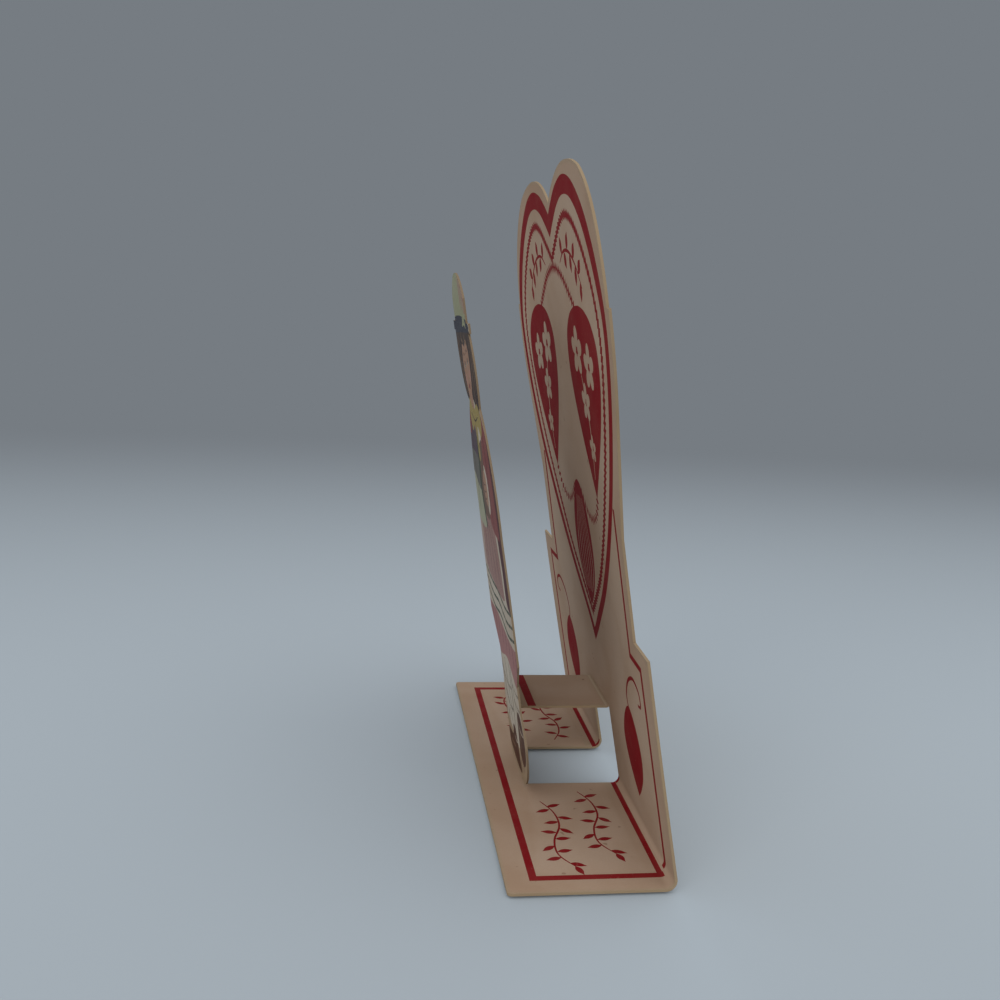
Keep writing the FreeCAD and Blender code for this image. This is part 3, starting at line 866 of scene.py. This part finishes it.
fill("hair", [(-17, 98), (13, 98), (16.6, 91), (15.4, 84.4), (11, 80.6), (5.4, 84), (-3.4, 82.4),
              (-9, 84.2), (-15, 89.6)])
fill("line", [(-17.4, 98), (-17, 91), (-13, 87.4), (-8, 83), (-7.6, 84.8), (-11.8, 89.6), (-14, 98)])
fill("skin", [(-2.4, 86), (3.4, 86), (5.4, 81), (5, 77.6), (2, 77.2), (-0.4, 80.6)])
head_spot, head_tilt = (0.2, 90.2), 10


def on_head(points):
    return placed(points, *head_spot, turn=head_tilt)


fill("skin", on_head([(0, 7.4), (-4.8, 6.4), (-6.5, 2.4), (-5.8, -2), (-3.2, -5.5), (0, -6.8),
                      (3.2, -5.5), (5.8, -2), (6.5, 2.4), (4.8, 6.4)]), 6)
for side in (-1, 1):
    eye = 2.8 * side
    fill("bare", on_head([(eye - 1.2, 0.6), (eye, 1.35), (eye + 1.2, 0.6), (eye, 0.1)]))
    figure_prints.append(("line", on_head(oval(eye, 0.7, 0.55, 0.6))))
    pen("line", on_head([(eye - 1.3, 0.7), (eye, 1.55), (eye + 1.3, 0.7)]), 0.28)
    pen("hair", on_head([(eye - 1.4, 2.6), (eye, 3.2), (eye + 1.4, 2.6)]), 0.4, 0.7)
    figure_prints.append(("blush", on_head(oval(3.8 * side, -2.1, 1.6, 1.25))))
pen("blush", on_head([(0, 0.6), (0.3, -1), (-0.2, -1.7), (-0.7, -1.4)]), 0.3)
fill("coat", on_head([(-1.5, -3.8), (-0.6, -3.35), (0, -3.5), (0.6, -3.35), (1.5, -3.8), (0, -4.6)]))
fill("hair", on_head([(-8, 8.4), (8, 8.2), (6.8, 2.6), (4.2, 5.2), (0, 4.4), (-4.2, 5.4), (-6.9, 2.8)]))
for points in ([(-11.4, 97), (-12.4, 92), (-9.4, 87.6), (-6, 84)],
               [(-9, 97), (-9.6, 92.6), (-7.2, 87.4), (-4, 83.8)], [(-13.4, 96), (-13.6, 92), (-11.6, 89)],
               [(8.4, 97), (10, 92), (9, 87), (10.4, 83)], [(10.6, 97), (12.8, 92), (12, 86)],
               [(-5.4, 97.2), (-4.8, 95.8), (-2.4, 95.2)], [(0.6, 97.2), (2, 95.8), (4.6, 95.2)]):
    pen("hair_light", points, 0.7, 0.8)
for points in ([(8, 96), (8.8, 91), (7.6, 86)], [(12.4, 96), (14.6, 91), (13.6, 86.6)],
               [(-8, 95), (-8.2, 90.6), (-5.6, 86)]):
    pen("line", points, 0.8, 0.7)
fill("yellow", [(-5.4, 80.4), (-3, 83.6), (3.6, 81.8), (10.4, 83.6), (14.6, 80.6), (11.6, 77),
                (6.6, 78.6), (5.4, 72), (2.8, 71.6), (2, 78.2), (-3, 76.6)])
pen("line", [(-2, 80.6), (3.4, 79.4), (9, 80.8)], 0.4)
pen("line", [(3.4, 79.2), (3.6, 76), (3.8, 73)], 0.4)

fill("straw", [(-14.6, 100), (-14.6, 106), (-9, 111), (6, 111), (10.6, 106), (10.6, 100)], steps=2)
for x in (-10.6, -7, -3.4, 0.4):
    pen("cuff", [(x, 101.6), (x * 0.92 + 0.2, 105), (x * 0.7, 108.6)], 0.8)
for x in (2.6, 5, 7.2, 9):
    pen("rose", [(x, 101.2), (x * 0.94, 105), (x * 0.76, 108.6)], 1.0, 0.4)
fill("ribbon", [(-14, 98.6), (-13.8, 100.2), (-2, 100.8), (9.6, 100), (9.6, 99), (-2, 98.8)])
fill("ribbon", [(-18.6, 97), (-18.4, 99.7), (-2, 99.2), (11, 99.6), (11.4, 97.8), (-2, 97.4)])
fill("straw", [(1, 98.6), (2.8, 100.6), (2.4, 103), (4.6, 102), (6.8, 102.6), (6.4, 100.4),
               (7.6, 98.4), (4.6, 99)])

figure = printed_sheet("figure_print", figure_outline, figure_prints, figure_inks, figure_place)
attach(figure, "root")
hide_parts("cutout_figure")

# Stage: a plain pale table that fades into an even grey backdrop, under a broad window light
# from the card's right side and a smaller one from above.
stage_pale = linear(165, 173, 179)
backdrop = linear(118, 124, 130)
stage_mesh = bpy.data.meshes.new("stage")
stage_radius, rim_points, under_card = 4.0, 72, 0.5
turns = [2 * math.pi * i / rim_points for i in range(rim_points)]
stage_mesh.from_pydata([(stage_radius * math.cos(turn), stage_radius * math.sin(turn), 0)
                        for turn in turns], [], [list(range(rim_points))])
stage_material = bpy.data.materials.new("stage")
stage_material.use_nodes = True
tree = stage_material.node_tree
away = node(tree, "ShaderNodeVectorMath", operation="LENGTH")
stretched = node(tree, "ShaderNodeMapping")
stretched.inputs["Scale"].default_value = (1.0, 0.45, 1.0)
wire(tree, (node(tree, "ShaderNodeTexCoord").outputs["Object"], stretched.inputs["Vector"]),
     (stretched.outputs["Vector"], away.inputs[0]))
shader = tree.nodes["Principled BSDF"]
shader.inputs["Base Color"].default_value = stage_pale
shader.inputs["Roughness"].default_value = 0.9
far_grey = node(tree, "ShaderNodeEmission")
far_grey.inputs["Color"].default_value = backdrop
fading = node(tree, "ShaderNodeMixShader")
seen_from_below = node(tree, "ShaderNodeMixShader")
wire(tree, (mapped(tree, away.outputs["Value"], -0.05, 0.56, 0.0, 1.0), fading.inputs[0]),
     (shader.outputs["BSDF"], fading.inputs[1]), (far_grey.outputs["Emission"], fading.inputs[2]),
     (node(tree, "ShaderNodeNewGeometry").outputs["Backfacing"], seen_from_below.inputs[0]),
     (fading.outputs["Shader"], seen_from_below.inputs[1]),
     (node(tree, "ShaderNodeBsdfTransparent").outputs["BSDF"], seen_from_below.inputs[2]),
     (seen_from_below.outputs["Shader"], tree.nodes["Material Output"].inputs["Surface"]))
stage_mesh.materials.append(stage_material)
stage = bpy.data.objects.new("stage", stage_mesh)
stage.location = (0, 0, -under_card * MM)
scene.collection.objects.link(stage)

world = bpy.data.worlds.new("room")
world.use_nodes = True
tree = world.node_tree
room_light = tree.nodes["Background"]
room_light.inputs["Color"].default_value = (0.88, 0.94, 1.0, 1.0)
room_light.inputs["Strength"].default_value = 0.8
seen = node(tree, "ShaderNodeBackground")
seen.inputs["Color"].default_value = backdrop
behind = node(tree, "ShaderNodeMixShader")
wire(tree, (node(tree, "ShaderNodeLightPath").outputs["Is Camera Ray"], behind.inputs[0]),
     (room_light.outputs["Background"], behind.inputs[1]),
     (seen.outputs["Background"], behind.inputs[2]),
     (behind.outputs["Shader"], tree.nodes["World Output"].inputs["Surface"]))
scene.world = world
card_middle = Vector((0, 0, 0.05))
for name, place, size, power in (("window_light", (1.3, -0.6, 0.7), 1.8, 14.0),
                                 ("ceiling_light", (0.2, 0.5, 1.2), 1.2, 3.6)):
    lamp_data = bpy.data.lights.new(name, "AREA")
    lamp_data.size = size
    lamp_data.energy = power
    lamp_data.color = (1.0, 0.97, 0.93)
    lamp = bpy.data.objects.new(name, lamp_data)
    lamp.location = place
    lamp.rotation_euler = (Vector(place) - card_middle).to_track_quat("Z", "Y").to_euler()
    scene.collection.objects.link(lamp)

scene.view_settings.view_transform = "Standard"
